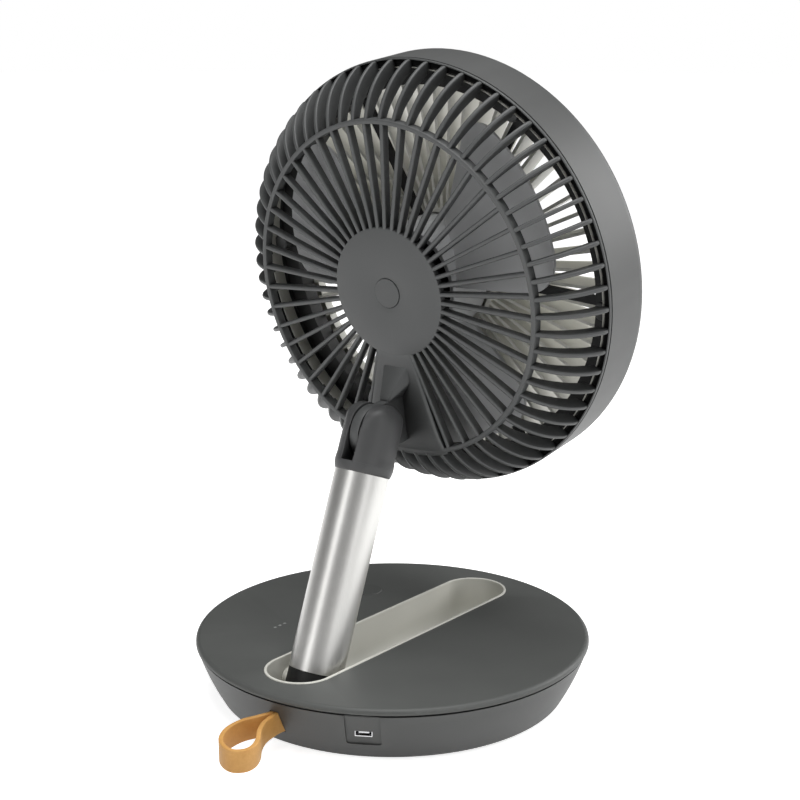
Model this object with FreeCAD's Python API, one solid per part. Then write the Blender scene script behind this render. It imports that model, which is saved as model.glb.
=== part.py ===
import FreeCAD, Part
import math
import os

# Portable camping fan: a disc base with a folding tube arm and a round fan head.
# Millimetres. The origin is the middle of the base's underside, +Z is up,
# the fan blows towards -Y and both folding hinges turn about X.

os.makedirs("parts", exist_ok=True)

Vec = FreeCAD.Vector

# Base shells
base_radius = 98.0
base_foot_radius = base_radius - 14.0
base_underside = 0.8
base_wall = 2.4
base_plate = 2.2
rim_height = 25.6
rim_radius = base_radius - 0.7
cover_edge_bottom = 26.8
cover_top = 29.4
cover_thickness = 2.4
cover_edge_round = 2.2
skirt_thickness = 1.8
skirt_depth = 6.0
skirt_clearance = 0.25

# Arm tray sunk into the base
tray_radius = 17.5
tray_length = 136.4
tray_centre_y = -0.6
tray_wall = 1.4
tray_lip = 0.5
tray_corner = 11.0
tray_flange = 2.6
tray_flange_thickness = 1.6
tray_fit = 0.15

# Arm pivot spacers
spacer_radius = 4.5
spacer_clearance = 0.1

# Arm
arm_lean = 21.15
arm_length = 122.6
pivot_y = 59.9
pivot_z = 19.0
tube_radius = 13.2
tube_wall = 1.2
tube_start = 6.7
fork_length = 20.2
tube_end = arm_length - fork_length
tube_overlap = 14.0
plug_fit = 0.05
knuckle_radius = 13.0
knuckle_corner = 6.0
fork_radius = 14.0
fork_slot = 6.6
fork_slot_depth = 15.6
fork_collar_height = 8.0
fork_collar_step = 0.45
lead_radius = 1.6
lead_fit = 0.2

# Hinge pins
pin_radius = 2.5
pin_fit = 0.04
base_pin_length = 47.0
head_pin_radius = 4.0
head_pin_length = 21.0
pin_end_clearance = 0.1
fork_cap_radius = 5.5
fork_cap_fit = 0.05
bracket_thickness = 4.0
bracket_length = 20.0
bracket_foot = 8.0
washer_radius = 10.0
washer_thickness = 0.5

# Cutting rods run right through whatever they cut
through = 60.0

# Fan head, measured from the middle of its front plane
head_tilt = 9.4
hinge_behind = 83.0
hinge_below = 62.8
ring_radius = 106.0
ring_wall = 2.8
ring_depth = 31.6
ring_round = 7.0
front_lip_width = 7.5
front_lip_inner = ring_radius - front_lip_width
front_lip_thickness = 3.0

# Rear grille
land_depth = 1.8
spigot_length = 9.0
spigot_wall = 1.4
land_chamfer = 2.5
spigot_fit = 0.2
shoulder_radius = ring_radius - 0.7
shoulder_depth = 35.2
bulge_radius = ring_radius - 8.7
bulge_depth = 48.4
mid_ring_radius = ring_radius - 23.6
mid_ring_depth = 58.7
mid_ring_width = 2.4
mid_ring_thickness = 4.6
hub_radius = 31.9
hub_depth = 60.6
hub_thickness = 3.0
inner_ribs = 48
inner_rib_width = 2.1
inner_rib_height = 4.4
outer_ribs = 64
outer_rib_width = 2.1
outer_rib_height = 6.4
rib_step = 0.2
rib_root = 0.6
tongue_top_half = 9.9
tongue_top = 29.0
tongue_foot_half = 25.8
tongue_foot = mid_ring_radius + 1.6
neck_half_width = 7.8
neck_start = 36.0
neck_edge = 45.0
neck_crest = 50.0
neck_crest_depth = 71.5
neck_crest_width = 1.5
web_half = 12.0
lug_radius = 13.4
lug_thickness = 5.4
neck_clearance = 0.8
plug_radius = 7.2
plug_thickness = 1.6

# Front grille
grille_ribs = 60
grille_rib_width = 1.6
grille_rib_depth = 13.0
grille_rib_first = 4.0
grille_front = 1.0
grille_hub_radius = 30.0
grille_hub_thickness = 3.0
grille_rim_inner = front_lip_inner - 1.5
grille_rim_fit = 0.3
badge_radius = 20.0
badge_thickness = 1.2

# Spoke frame and air duct behind the front grille
spokes = 6
spoke_first = 35.0
spoke_width = 4.4
spoke_thickness = 2.2
spoke_gap = 0.4
spoke_hub_radius = 24.0
spoke_hub_width = 6.0
spoke_rim_width = 1.6
duct_radius = ring_radius - 14.2
duct_wall = 1.8
frame_screw_circle = ring_radius - 7.8
frame_screw_radius = 1.5
frame_screw_head = 2.7
frame_screw_head_height = 1.6
frame_boss_radius = 4.2
frame_boss_length = 6.0

# Impeller
blades = 3
blade_first = 36.0
blade_sweep = 34.5
blade_tip_radius = ring_radius - 21.0
blade_root_radius = 27.6
blade_thickness = 1.8
blade_front = 20.0
blade_back = 44.0
blade_corner = 14.0
blade_camber = 3.0
impeller_hub_radius = 28.5
impeller_hub_wall = 2.0
impeller_hub_front = 17.6
impeller_hub_back = 46.0
impeller_boss_radius = 5.0
impeller_boss_length = 11.0
nut_radius = 6.0
nut_height = 3.4
nut_wall = 1.0

# Motor
motor_radius = 20.0
motor_wall = 1.4
motor_front = 31.0
flange_radius = 27.0
flange_thickness = 2.0
shaft_radius = 1.5
shaft_fit = 0.03
bearing_radius = 4.0
bearing_length = 4.0
stator_inner = 12.4
stator_length = 14.0
rotor_radius = 11.9
rotor_length = 13.0
motor_screw_radius = 1.2
motor_screw_head = 2.3
motor_screw_circle = 24.0
motor_screws = 3

# Battery and electronics
cell_radius = 9.2
cell_length = 65.0
cell_gap = 0.6
cell_x = -33.0
cradle_wall = 1.6
cradle_depth = 7.0
cradle_fit = 0.1
board_thickness = 1.6
board_width = 36.0
board_length = 92.0
board_x = 42.0
board_top = 17.0
standoff_radius = 3.0
chip_size = 9.0
chip_height = 1.6
coil_radius = 4.5
coil_height = 4.4

# Power button and indicator lights
button_x = 44.0
button_y = -32.5
button_radius = 8.0
button_fit = 0.2
button_travel = 0.8
button_proud = 0.4
button_height = 4.4
button_flange = 1.2
switch_size = 6.2
switch_height = 3.6
dome_radius = 3.4
light_x = 45.5
light_y = 34.0
light_pitch = 3.5
light_radius = 0.8
light_count = 3
light_bar_thickness = 1.4
light_fit = 0.05

# Charging port
port_angle = 31.0
port_pocket_width = 16.0
port_pocket_bottom = 9.0
port_pocket_depth = 1.2
port_pocket_round = 3.0
port_height = 15.2
socket_width = 8.0
socket_height = 2.9
socket_length = 7.0
socket_wall = 0.4
socket_fit = 0.1
port_board_length = 16.0
port_board_width = 18.0

# Leather carry loop: plan of its middle line, across and out from its slot in the wall
loop_x = -8.0
loop_slot_height = 11.4
loop_slot_width = 5.0
loop_height = 10.4
loop_thickness = 2.0
loop_bottom = 9.4
loop_tail = 8.4
loop_straight = 1.0
loop_strand_offset = 1.2
loop_plan = [
    (3.3, 7.9),
    (5.9, 15.4),
    (5.5, 24.8),
    (1.3, 32.9),
    (-5.2, 37.7),
    (-11.7, 39.1),
    (-15.5, 35.8),
    (-15.5, 30.4),
    (-12.1, 23.7),
    (-7.2, 17.3),
    (-3.1, 9.7),
]
rivet_radius = 1.0
rivet_head_radius = 2.0
rivet_head_height = 1.0
rivet_fit = 0.05

# Grip pad and screws
pad_radius = base_radius - 36.0
pad_recess = 1.0
pad_fit = 0.1
screw_radius = 1.6
screw_head = 3.2
screw_head_height = 1.8
screw_circle = base_radius - 22.0
screw_angles = [65, 160, 245, 340]
boss_radius = 4.2


def rotated(shape, axis, degrees):
    copy = shape.copy()
    copy.rotate(Vec(0, 0, 0), axis, degrees)
    return copy


def moved(shape, x, y, z):
    copy = shape.copy()
    copy.translate(Vec(x, y, z))
    return copy


def rod(radius, length, x=0.0, y=0.0, z=0.0, direction=Vec(0, 0, 1)):
    return Part.makeCylinder(radius, length, Vec(x, y, z), direction)


def tube(outer, inner, length, x=0.0, y=0.0, z=0.0, direction=Vec(0, 0, 1)):
    return rod(outer, length, x, y, z, direction).cut(rod(inner, length, x, y, z, direction))


def cross_bore(radius, y, z):
    """Rod along X that cuts a hinge bore."""
    return rod(radius, through, -through / 2, y, z, Vec(1, 0, 0))


def block(x0, x1, y0, y1, z0, z1):
    return Part.makeBox(x1 - x0, y1 - y0, z1 - z0, Vec(x0, y0, z0))


def fused(shapes):
    return shapes[0].multiFuse(shapes[1:]).removeSplitter()


def revolved(edges):
    face = Part.Face(Part.Wire(edges))
    return face.revolve(Vec(0, 0, 0), Vec(0, 0, 1), 360)


def line(a, b):
    return Part.LineSegment(a, b).toShape()


def arc(a, b, c):
    return Part.Arc(a, b, c).toShape()


def half_plane(radius, height):
    return Vec(radius, 0, height)


def chain(points):
    return [line(points[i], points[(i + 1) % len(points)]) for i in range(len(points))]


def prism(points, direction):
    return Part.Face(Part.Wire(chain(points))).extrude(direction)


def stadium(radius, z0, z1):
    half = tray_length / 2
    middle = block(-radius, radius, tray_centre_y - half, tray_centre_y + half, z0, z1)
    near = rod(radius, z1 - z0, 0, tray_centre_y + half, z0)
    far = rod(radius, z1 - z0, 0, tray_centre_y - half, z0)
    return fused([middle, near, far])


def save(name, shape):
    shape.exportStep("parts/" + name + ".step")


def on_arm(shape):
    """Arm pieces are drawn along +Z from the base pivot, then leaned forward."""
    leaned = rotated(shape, Vec(1, 0, 0), arm_lean)
    return moved(leaned, 0, pivot_y, pivot_z)


lean = math.radians(arm_lean)
tilt = math.radians(head_tilt)
hinge_y = pivot_y - arm_length * math.sin(lean)
hinge_z = pivot_z + arm_length * math.cos(lean)
head_y = hinge_y - hinge_behind * math.cos(tilt) + hinge_below * math.sin(tilt)
head_z = hinge_z + hinge_behind * math.sin(tilt) + hinge_below * math.cos(tilt)


def on_head(shape):
    """Head pieces are drawn with +Z to the rear and +Y up, then set in place."""
    turned = rotated(shape, Vec(0, 1, 0), 180)
    tipped = rotated(turned, Vec(1, 0, 0), 90 - head_tilt)
    return moved(tipped, 0, head_y, head_z)


def wall_radius(z, inset=0.0):
    """Outer radius of the base's side wall at a height, less an inset."""
    curve = Part.Arc(*wall_points()).toShape().Curve
    rise = z - curve.Center.z
    return curve.Center.x + math.sqrt(curve.Radius ** 2 - rise ** 2) - inset


def wall_points():
    low = half_plane(base_foot_radius + 3.0, base_underside + 1.8)
    middle_height = (low.z + rim_height) / 2
    middle = half_plane((low.x + rim_radius) / 2 + 0.75, middle_height)
    high = half_plane(rim_radius, rim_height)
    return low, middle, high


def bowl(inset, floor):
    """Solid of revolution inside the side wall, from a floor to the rim."""
    low, middle, high = wall_points()
    foot = half_plane(base_foot_radius - inset, floor)
    corner = half_plane(low.x - 0.9 - inset, floor + 0.55)
    low = half_plane(low.x - inset, floor + 1.8)
    middle = half_plane(middle.x - inset, middle.z)
    high = half_plane(high.x - inset, high.z)
    top = half_plane(0, high.z)
    bottom = half_plane(0, floor)
    edges = [line(bottom, foot), arc(foot, corner, low), arc(low, middle, high), line(high, top), line(top, bottom)]
    return revolved(edges)


def screw_places():
    return [math.radians(a) for a in screw_angles]


def port_frame(shape):
    """Port pieces are drawn with +Y pointing out of the wall, then turned to it."""
    return rotated(shape, Vec(0, 0, 1), port_angle)


def port_pocket():
    half = port_pocket_width / 2
    outer = wall_radius(port_height) + 5
    inner = wall_radius(port_height, port_pocket_depth)
    pocket = block(-half, half, inner, outer, port_pocket_bottom, rim_height + 1)
    edges = [e for e in pocket.Edges if abs(e.CenterOfMass.z - port_pocket_bottom) < 1e-6 and abs(abs(e.CenterOfMass.x) - half) < 1e-6]
    pocket = pocket.makeFillet(port_pocket_round * 0.4, edges)
    slope = math.degrees(math.atan2(wall_radius(rim_height) - wall_radius(port_pocket_bottom), rim_height - port_pocket_bottom))
    pocket.rotate(Vec(0, inner, port_height), Vec(1, 0, 0), -slope)
    return pocket


def socket_opening():
    half_w = socket_width / 2 + socket_fit
    half_h = socket_height / 2 + socket_fit
    y0 = wall_radius(port_height) - 12
    return block(-half_w, half_w, y0, y0 + 20, port_height - half_h, port_height + half_h)


def base_bottom_shell():
    shell = bowl(0, base_underside).cut(bowl(base_wall, base_underside + base_plate))
    bosses = []
    for a in screw_places():
        bosses.append(rod(boss_radius, boss_top() - base_underside, screw_circle * math.cos(a), screw_circle * math.sin(a), base_underside))
    for side in (-1, 1):
        for y in (-board_length / 2 + 8, board_length / 2 - 8):
            bosses.append(rod(standoff_radius, board_top - board_thickness - base_underside - 1, board_x + side * (board_width / 2 - 5), y, base_underside + 1))
    shell = fused([shell] + bosses)
    for a in screw_places():
        x, y = screw_circle * math.cos(a), screw_circle * math.sin(a)
        shell = shell.cut(rod(screw_head + 0.2, screw_head_height + 0.2, x, y, base_underside))
        shell = shell.cut(rod(screw_radius + 0.1, boss_top(), x, y, base_underside))
    shell = shell.cut(rod(pad_radius + pad_fit, pad_recess, 0, 0, base_underside))
    shell = shell.cut(port_frame(port_pocket()))
    shell = shell.cut(port_frame(socket_opening()))
    slot_y = wall_radius(loop_bottom) - 8
    low = loop_bottom - (loop_slot_height - loop_height) / 2
    half = loop_slot_width / 2
    shell = shell.cut(block(loop_x - half, loop_x + half, slot_y, slot_y + 20, low, low + loop_slot_height))
    return shell


def boss_top():
    return cover_top - cover_thickness


def base_top_cover():
    edge = cover_edge_round
    outer = half_plane(base_radius, cover_edge_bottom)
    round_start = half_plane(base_radius, cover_top - edge)
    round_mid = half_plane(base_radius - edge * (1 - math.sqrt(0.5)), cover_top - edge * (1 - math.sqrt(0.5)))
    round_end = half_plane(base_radius - edge, cover_top)
    inset = base_wall + skirt_clearance
    under = cover_top - cover_thickness
    skirt_bottom = under - skirt_depth
    skirt_outer = wall_radius(rim_height, inset)
    skirt_low = wall_radius(skirt_bottom, inset)
    skirt_inner = skirt_low - skirt_thickness
    edges = [
        line(half_plane(0, cover_top), half_plane(0, under)),
        line(half_plane(0, under), half_plane(skirt_inner, under)),
        line(half_plane(skirt_inner, under), half_plane(skirt_inner, skirt_bottom)),
        line(half_plane(skirt_inner, skirt_bottom), half_plane(skirt_low, skirt_bottom)),
        line(half_plane(skirt_low, skirt_bottom), half_plane(skirt_outer, rim_height)),
        line(half_plane(skirt_outer, rim_height), half_plane(skirt_outer, cover_edge_bottom)),
        line(half_plane(skirt_outer, cover_edge_bottom), outer),
        line(outer, round_start),
        arc(round_start, round_mid, round_end),
        line(round_end, half_plane(0, cover_top)),
    ]
    cover = revolved(edges)
    cover = cover.cut(stadium(tray_radius + tray_fit, under - 1, cover_top + 1))
    cover = cover.cut(rod(button_radius + button_fit, cover_thickness, button_x, button_y, under))
    for i in range(light_count):
        y = light_y + (i - (light_count - 1) / 2) * light_pitch
        cover = cover.cut(rod(light_radius + light_fit, cover_thickness, light_x, y, under))
    guard = tube(button_radius + button_fit + button_flange + 1.4, button_radius + button_fit + button_flange, 4.0, button_x, button_y, under - 4.0)
    cover = fused([cover, guard])
    pilots = [rod(screw_radius, 0.8, screw_circle * math.cos(a), screw_circle * math.sin(a), under) for a in screw_places()]
    return cover.cut(Part.makeCompound(pilots))


def tray_floor():
    return base_underside + base_plate + tray_wall


def arm_tray():
    top = cover_top + tray_lip
    outer = stadium(tray_radius, base_underside + base_plate, top)
    under = cover_top - cover_thickness
    flange = stadium(tray_radius + tray_flange, under - tray_flange_thickness, under)
    inner = stadium(tray_radius - tray_wall, tray_floor(), top + 5)
    floor_edges = [e for e in inner.Edges if abs(e.CenterOfMass.z - tray_floor()) < 1e-6 and e.Length > 1]
    inner = inner.makeFillet(tray_corner, floor_edges)
    outer_edges = [e for e in outer.Edges if abs(e.CenterOfMass.z - base_underside - base_plate) < 1e-6 and e.Length > 1]
    outer = outer.makeFillet(tray_corner, outer_edges)
    tray = fused([outer, flange]).cut(inner)
    lip_edges = [e for e in tray.Edges if abs(e.CenterOfMass.z - top) < 1e-6 and abs(e.BoundBox.ZLength) < 1e-6]
    tray = tray.makeFillet(tray_wall * 0.3, lip_edges)
    return tray.cut(cross_bore(pin_radius, pivot_y, pivot_z))


def pivot_bracket(side):
    x0 = side * (tray_radius + 0.1)
    x1 = side * (tray_radius + 0.1 + bracket_thickness)
    foot = side * (tray_radius + 0.1 + bracket_foot)
    half = bracket_length / 2
    floor = base_underside + base_plate
    top = cover_top - cover_thickness - tray_flange_thickness - 0.2
    upright = block(min(x0, x1), max(x0, x1), pivot_y - half, pivot_y + half, floor, top)
    pad = block(min(x0, foot), max(x0, foot), pivot_y - half, pivot_y + half, floor, floor + 3)
    bracket = fused([upright, pad])
    return bracket.cut(cross_bore(pin_radius, pivot_y, pivot_z))


def base_pivot_pin():
    half = base_pin_length / 2
    pin = rod(pin_radius, base_pin_length, -half, pivot_y, pivot_z, Vec(1, 0, 0))
    return pin.makeChamfer(0.4, [e for e in pin.Edges if e.BoundBox.XLength < 1e-6])


def pivot_spacers():
    start = knuckle_radius + spacer_clearance
    length = tray_radius - tray_wall - spacer_clearance - start
    pair = []
    for x0 in (start, -start - length):
        pair.append(tube(spacer_radius, pin_radius, length, x0, pivot_y, pivot_z, Vec(1, 0, 0)))
    return Part.makeCompound(pair)


def lower_knuckle():
    bore = cross_bore(pin_radius + pin_fit, 0, 0)
    round_end = rod(knuckle_radius, 2 * knuckle_radius, -knuckle_radius, 0, 0, Vec(1, 0, 0))
    rims = [e for e in round_end.Edges if e.BoundBox.XLength < 1e-6]
    round_end = round_end.makeFillet(knuckle_corner, rims)
    lower = round_end.common(rod(knuckle_radius, knuckle_radius, 0, 0, -knuckle_radius))
    upper = rod(knuckle_radius, tube_start)
    plug = rod(tube_radius - tube_wall - plug_fit, tube_overlap, 0, 0, tube_start)
    shape = fused([lower, upper, plug]).cut(bore)
    return shape.cut(rod(lead_radius + lead_fit, through, 0, 0, pin_radius + 3))


def arm_tube():
    return tube(tube_radius, tube_radius - tube_wall, tube_end - tube_start, 0, 0, tube_start)


def arm_lead():
    return rod(lead_radius, tube_end - tube_start - 2, 0, 0, tube_start)


def fork_body():
    top = arm_length + fork_radius
    start = tube_end + fork_collar_height
    body = rod(fork_radius, top - start, 0, 0, start)
    dome = rod(fork_radius, 2 * fork_radius + 2, -fork_radius - 1, 0, arm_length, Vec(1, 0, 0))
    lower = block(-fork_radius, fork_radius, -fork_radius, fork_radius, start, arm_length)
    body = body.common(fused([dome, lower]))
    ear_round = Part.makeSphere(fork_radius + 3.2, Vec(0, 0, arm_length - 1.6))
    lower = block(-fork_radius, fork_radius, -fork_radius, fork_radius, start, arm_length - 2)
    return body.common(fused([ear_round, lower]))


def fork_collar():
    """Swelling at the foot of the fork, tapered down to the tube."""
    low = half_plane(tube_radius + 0.1, tube_end)
    middle = half_plane(fork_radius + fork_collar_step, tube_end + fork_collar_height / 2)
    high = half_plane(fork_radius, tube_end + fork_collar_height)
    axis_high = half_plane(0, high.z)
    axis_low = half_plane(0, low.z)
    edges = [arc(low, middle, high), line(high, axis_high), line(axis_high, axis_low), line(axis_low, low)]
    return revolved(edges)


def pin_pocket():
    """Blind bore for the head's pin, opened to a wider cap seat on the right."""
    half = head_pin_length / 2 + pin_end_clearance
    bore = rod(head_pin_radius, 2 * half, -half, 0, arm_length, Vec(1, 0, 0))
    seat = rod(fork_cap_radius, fork_radius + 2 - half, half, 0, arm_length, Vec(1, 0, 0))
    return fused([bore, seat])


def fork_cap():
    start = head_pin_length / 2 + pin_end_clearance
    plug = rod(fork_cap_radius - fork_cap_fit, fork_radius, start, 0, arm_length, Vec(1, 0, 0))
    return plug.common(fork_body())


def upper_fork():
    floor = arm_length - fork_slot_depth
    top = arm_length + fork_radius
    plug = rod(tube_radius - tube_wall - plug_fit, tube_overlap, 0, 0, tube_end - tube_overlap)
    shape = fused([fork_body(), fork_collar(), plug])
    half = fork_slot / 2
    shape = shape.cut(block(-half, half, -20, 20, floor, top + 1))
    shape = shape.cut(pin_pocket())
    return shape.cut(rod(lead_radius + lead_fit, tube_overlap + 30, 0, 0, tube_end - tube_overlap - 1))


def head_pivot_pin():
    half = head_pin_length / 2
    return rod(head_pin_radius - pin_fit, head_pin_length, -half, 0, arm_length, Vec(1, 0, 0))


def hinge_washers():
    gap = (fork_slot - lug_thickness) / 2
    inner = lug_thickness / 2 + (gap - washer_thickness) / 2
    pair = []
    for side in (-1, 1):
        x0 = side * inner if side > 0 else -inner - washer_thickness
        pair.append(tube(washer_radius, head_pin_radius, washer_thickness, x0, 0, arm_length, Vec(1, 0, 0)))
    return Part.makeCompound(pair)


def head_ring():
    outer = ring_radius
    inner = ring_radius - ring_wall
    a = half_plane(outer, ring_depth)
    b = half_plane(outer, ring_round)
    mid = half_plane(outer - ring_round * (1 - math.sqrt(0.5)), ring_round * (1 - math.sqrt(0.5)))
    c = half_plane(outer - ring_round, 0)
    edges = [
        line(a, b),
        arc(b, mid, c),
        line(c, half_plane(front_lip_inner, 0)),
        line(half_plane(front_lip_inner, 0), half_plane(front_lip_inner, front_lip_thickness)),
        line(half_plane(front_lip_inner, front_lip_thickness), half_plane(inner - 1.0, front_lip_thickness)),
        line(half_plane(inner - 1.0, front_lip_thickness), half_plane(inner, ring_round)),
        line(half_plane(inner, ring_round), half_plane(inner, ring_depth)),
        line(half_plane(inner, ring_depth), a),
    ]
    return revolved(edges)


def rib_plate(points, width, degrees):
    """A flat rib standing in a radial plane, turned to its place."""
    wire = Part.Wire(points)
    plate = Part.Face(wire).extrude(Vec(0, width, 0))
    plate.translate(Vec(0, -width / 2, 0))
    return rotated(plate, Vec(0, 0, 1), degrees)


def outer_rib(degrees):
    depth = outer_rib_height
    start = mid_ring_radius - mid_ring_width / 2
    root = ring_depth + land_depth - rib_root
    a = half_plane(start, mid_ring_depth - rib_step)
    b = half_plane(bulge_radius, bulge_depth)
    c = half_plane(shoulder_radius, shoulder_depth)
    d = half_plane(shoulder_radius, root)
    e = half_plane(spigot_outer() - rib_step, ring_depth + rib_step)
    f = half_plane(shoulder_radius - depth, shoulder_depth)
    g = half_plane(bulge_radius - depth * 0.72, bulge_depth - depth * 0.72)
    h = half_plane(start, mid_ring_depth - mid_ring_thickness + rib_step)
    edges = [arc(a, b, c), line(c, d), line(d, e), line(e, f), arc(f, g, h), line(h, a)]
    return rib_plate(edges, outer_rib_width, degrees)


def inner_rib(degrees):
    start = hub_radius - 1
    end = mid_ring_radius - mid_ring_width / 2
    a = half_plane(start, hub_depth - rib_step)
    b = half_plane(end, mid_ring_depth - rib_step)
    c = half_plane(end, mid_ring_depth - rib_step - inner_rib_height)
    d = half_plane(start, hub_depth - rib_step - inner_rib_height)
    return rib_plate([line(a, b), line(b, c), line(c, d), line(d, a)], inner_rib_width, degrees)


def spaced(count, first):
    return [first + 360 / count * i for i in range(count)]


def clear_of_tongue(degrees, radius):
    """True where a rib's line stays outside the tongue that runs down to the hinge."""
    down = math.radians(degrees + 90)
    across = abs(radius * math.sin(down))
    below = radius * math.cos(down)
    return below < 0 or across > tongue_half(below) - 1.0


def tongue_half(below):
    share = (below - tongue_top) / (tongue_foot - tongue_top)
    return tongue_top_half + (tongue_foot_half - tongue_top_half) * share


def tongue():
    back = hub_depth
    front = mid_ring_depth - mid_ring_thickness
    points = [
        Vec(-tongue_top_half, -tongue_top, front),
        Vec(tongue_top_half, -tongue_top, front),
        Vec(tongue_foot_half, -tongue_foot, front),
        Vec(-tongue_foot_half, -tongue_foot, front),
    ]
    plate = prism(points, Vec(0, 0, back - front))
    dome = fused([rod(mid_ring_radius + 1.4, hub_depth + 3)])
    plate = plate.common(dome)
    slope_start = mid_ring_radius - 14
    cutter = prism(
        [
            Vec(0, -slope_start, back),
            Vec(0, -slope_start, back + 5),
            Vec(0, -tongue_foot - 2, back + 5),
            Vec(0, -tongue_foot - 2, mid_ring_depth - 1.4),
        ],
        Vec(through, 0, 0),
    )
    return plate.cut(moved(cutter, -through / 2, 0, 0))


def neck():
    """Wedge and lug that carry the head on its hinge pin."""
    half = lug_thickness / 2
    floor = hub_depth - 1
    crest = neck_crest_depth
    foot = [
        Vec(-neck_half_width, -neck_start, floor),
        Vec(neck_half_width, -neck_start, floor),
        Vec(neck_half_width, -neck_edge, floor),
        Vec(-neck_half_width, -neck_edge, floor),
    ]
    ridge = [
        Vec(-half, -neck_crest, crest),
        Vec(half, -neck_crest, crest),
        Vec(half, -neck_crest - neck_crest_width, crest),
        Vec(-half, -neck_crest - neck_crest_width, crest),
    ]
    wedge = Part.makeLoft([Part.Wire(chain(foot)), Part.Wire(chain(ridge))], True, True)
    wedge = wedge.cut(cross_bore(fork_radius + neck_clearance, -hinge_below, hinge_behind))
    disc = rod(lug_radius, lug_thickness, -half, -hinge_below, hinge_behind, Vec(1, 0, 0))
    web = block(-half, half, -hinge_below - web_half, -hinge_below + web_half, hub_depth - 2, hinge_behind)
    return fused([wedge, disc, web])


def spigot_outer():
    return ring_radius - ring_wall - spigot_fit


def spigot_inner():
    return spigot_outer() - spigot_wall


def on_circle(radius, angles):
    return [(radius * math.cos(math.radians(a)), radius * math.sin(math.radians(a))) for a in angles]


def frame_screw_places():
    return on_circle(frame_screw_circle, spoke_angles())


def spoke_angles():
    """Spoke angles about the head's axis, from its local X axis."""
    return [90 - spoke_first - 360 / spokes * i for i in range(spokes)]


def rear_grille():
    low = ring_depth - spigot_length
    top = ring_depth + land_depth
    profile = [
        half_plane(spigot_inner(), low),
        half_plane(spigot_outer(), low),
        half_plane(spigot_outer(), ring_depth),
        half_plane(ring_radius - rib_step, ring_depth),
        half_plane(ring_radius - rib_step, top),
        half_plane(spigot_outer(), top),
        half_plane(spigot_inner(), top - land_chamfer),
    ]
    collar = revolved(chain(profile))
    mid = tube(mid_ring_radius, mid_ring_radius - mid_ring_width, mid_ring_thickness, 0, 0, mid_ring_depth - mid_ring_thickness)
    hub = rod(hub_radius, hub_thickness, 0, 0, hub_depth - hub_thickness)
    top_edges = [e for e in hub.Edges if abs(e.CenterOfMass.z - hub_depth) < 1e-6]
    hub = hub.makeFillet(0.6, top_edges)
    ribs = []
    for a in spaced(inner_ribs, 90 + 180 / inner_ribs):
        if clear_of_tongue(a, mid_ring_radius - 12):
            ribs.append(inner_rib(a))
    for a in spaced(outer_ribs, 90 + 180 / outer_ribs):
        ribs.append(outer_rib(a))
    bosses = [rod(frame_boss_radius, frame_boss_length, x, y, low) for x, y in frame_screw_places()]
    grille = fused([collar, mid, hub] + ribs)
    grille = fused([grille, tongue(), neck()] + bosses)
    grille = grille.cut(cross_bore(head_pin_radius, -hinge_below, hinge_behind))
    grille = grille.cut(rod(plug_radius + 0.05, plug_thickness - 0.4, 0, 0, hub_depth - plug_thickness + 0.4))
    screws = [rod(frame_screw_radius, frame_boss_length - 1, x, y, low) for x, y in frame_screw_places()]
    screws += [rod(motor_screw_radius, hub_thickness - 1.0, x, y, hub_depth - hub_thickness) for x, y in motor_screw_places()]
    return grille.cut(Part.makeCompound(screws))


def hub_plug():
    plug = rod(plug_radius, plug_thickness - 0.1, 0, 0, hub_depth - plug_thickness + 0.4)
    return plug.makeFillet(0.3, [e for e in plug.Edges if abs(e.CenterOfMass.z - hub_depth - 0.3) < 1e-6])


def front_grille():
    rim_outer = ring_radius - ring_wall - 1.0 - grille_rim_fit
    rim = tube(rim_outer, grille_rim_inner, 3.0, 0, 0, front_lip_thickness)
    lip = tube(front_lip_inner - grille_rim_fit, grille_rim_inner, front_lip_thickness - grille_front, 0, 0, grille_front)
    hub = rod(grille_hub_radius, grille_hub_thickness, 0, 0, grille_front)
    wall = tube(grille_hub_radius, grille_hub_radius - 2.0, grille_rib_depth, 0, 0, grille_front)
    ribs = []
    half = grille_rib_width / 2
    for a in spaced(grille_ribs, grille_rib_first):
        rib = block(grille_hub_radius - 1, grille_rim_inner + 0.6, -half, half, grille_front, grille_front + grille_rib_depth)
        ribs.append(rotated(rib, Vec(0, 0, 1), a))
    return fused([rim, lip, hub, wall] + ribs).cut(rod(badge_radius + 0.1, badge_thickness, 0, 0, grille_front))


def front_badge():
    return rod(badge_radius, badge_thickness, 0, 0, grille_front)


def spoke_frame_front():
    return grille_front + grille_rib_depth + spoke_gap


def spoke_frame():
    """Spokes inside an open channel ring whose inner wall is the air duct."""
    front = spoke_frame_front()
    back = ring_depth - spigot_length
    outer = spigot_outer()
    profile = [
        half_plane(duct_radius, front),
        half_plane(duct_radius + duct_wall, front),
        half_plane(duct_radius + duct_wall, back - duct_wall),
        half_plane(outer - spoke_rim_width, back - duct_wall),
        half_plane(outer - spoke_rim_width, front),
        half_plane(outer, front),
        half_plane(outer, back),
        half_plane(duct_radius, back),
    ]
    channel = revolved(chain(profile))
    hub = tube(spoke_hub_radius, spoke_hub_radius - spoke_hub_width, spoke_thickness, 0, 0, front)
    arms = []
    half = spoke_width / 2
    for a in spoke_angles():
        arm = block(spoke_hub_radius - 2, duct_radius + duct_wall / 2, -half, half, front, front + spoke_thickness)
        arms.append(rotated(arm, Vec(0, 0, 1), a))
    posts = [rod(frame_boss_radius, back - front, x, y, front) for x, y in frame_screw_places()]
    frame = fused([channel, hub] + arms + posts)
    for x, y in frame_screw_places():
        frame = frame.cut(rod(frame_screw_radius + 0.1, back - front, x, y, front))
        frame = frame.cut(rod(frame_screw_head + 0.2, frame_screw_head_height, x, y, front))
    return frame


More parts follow.
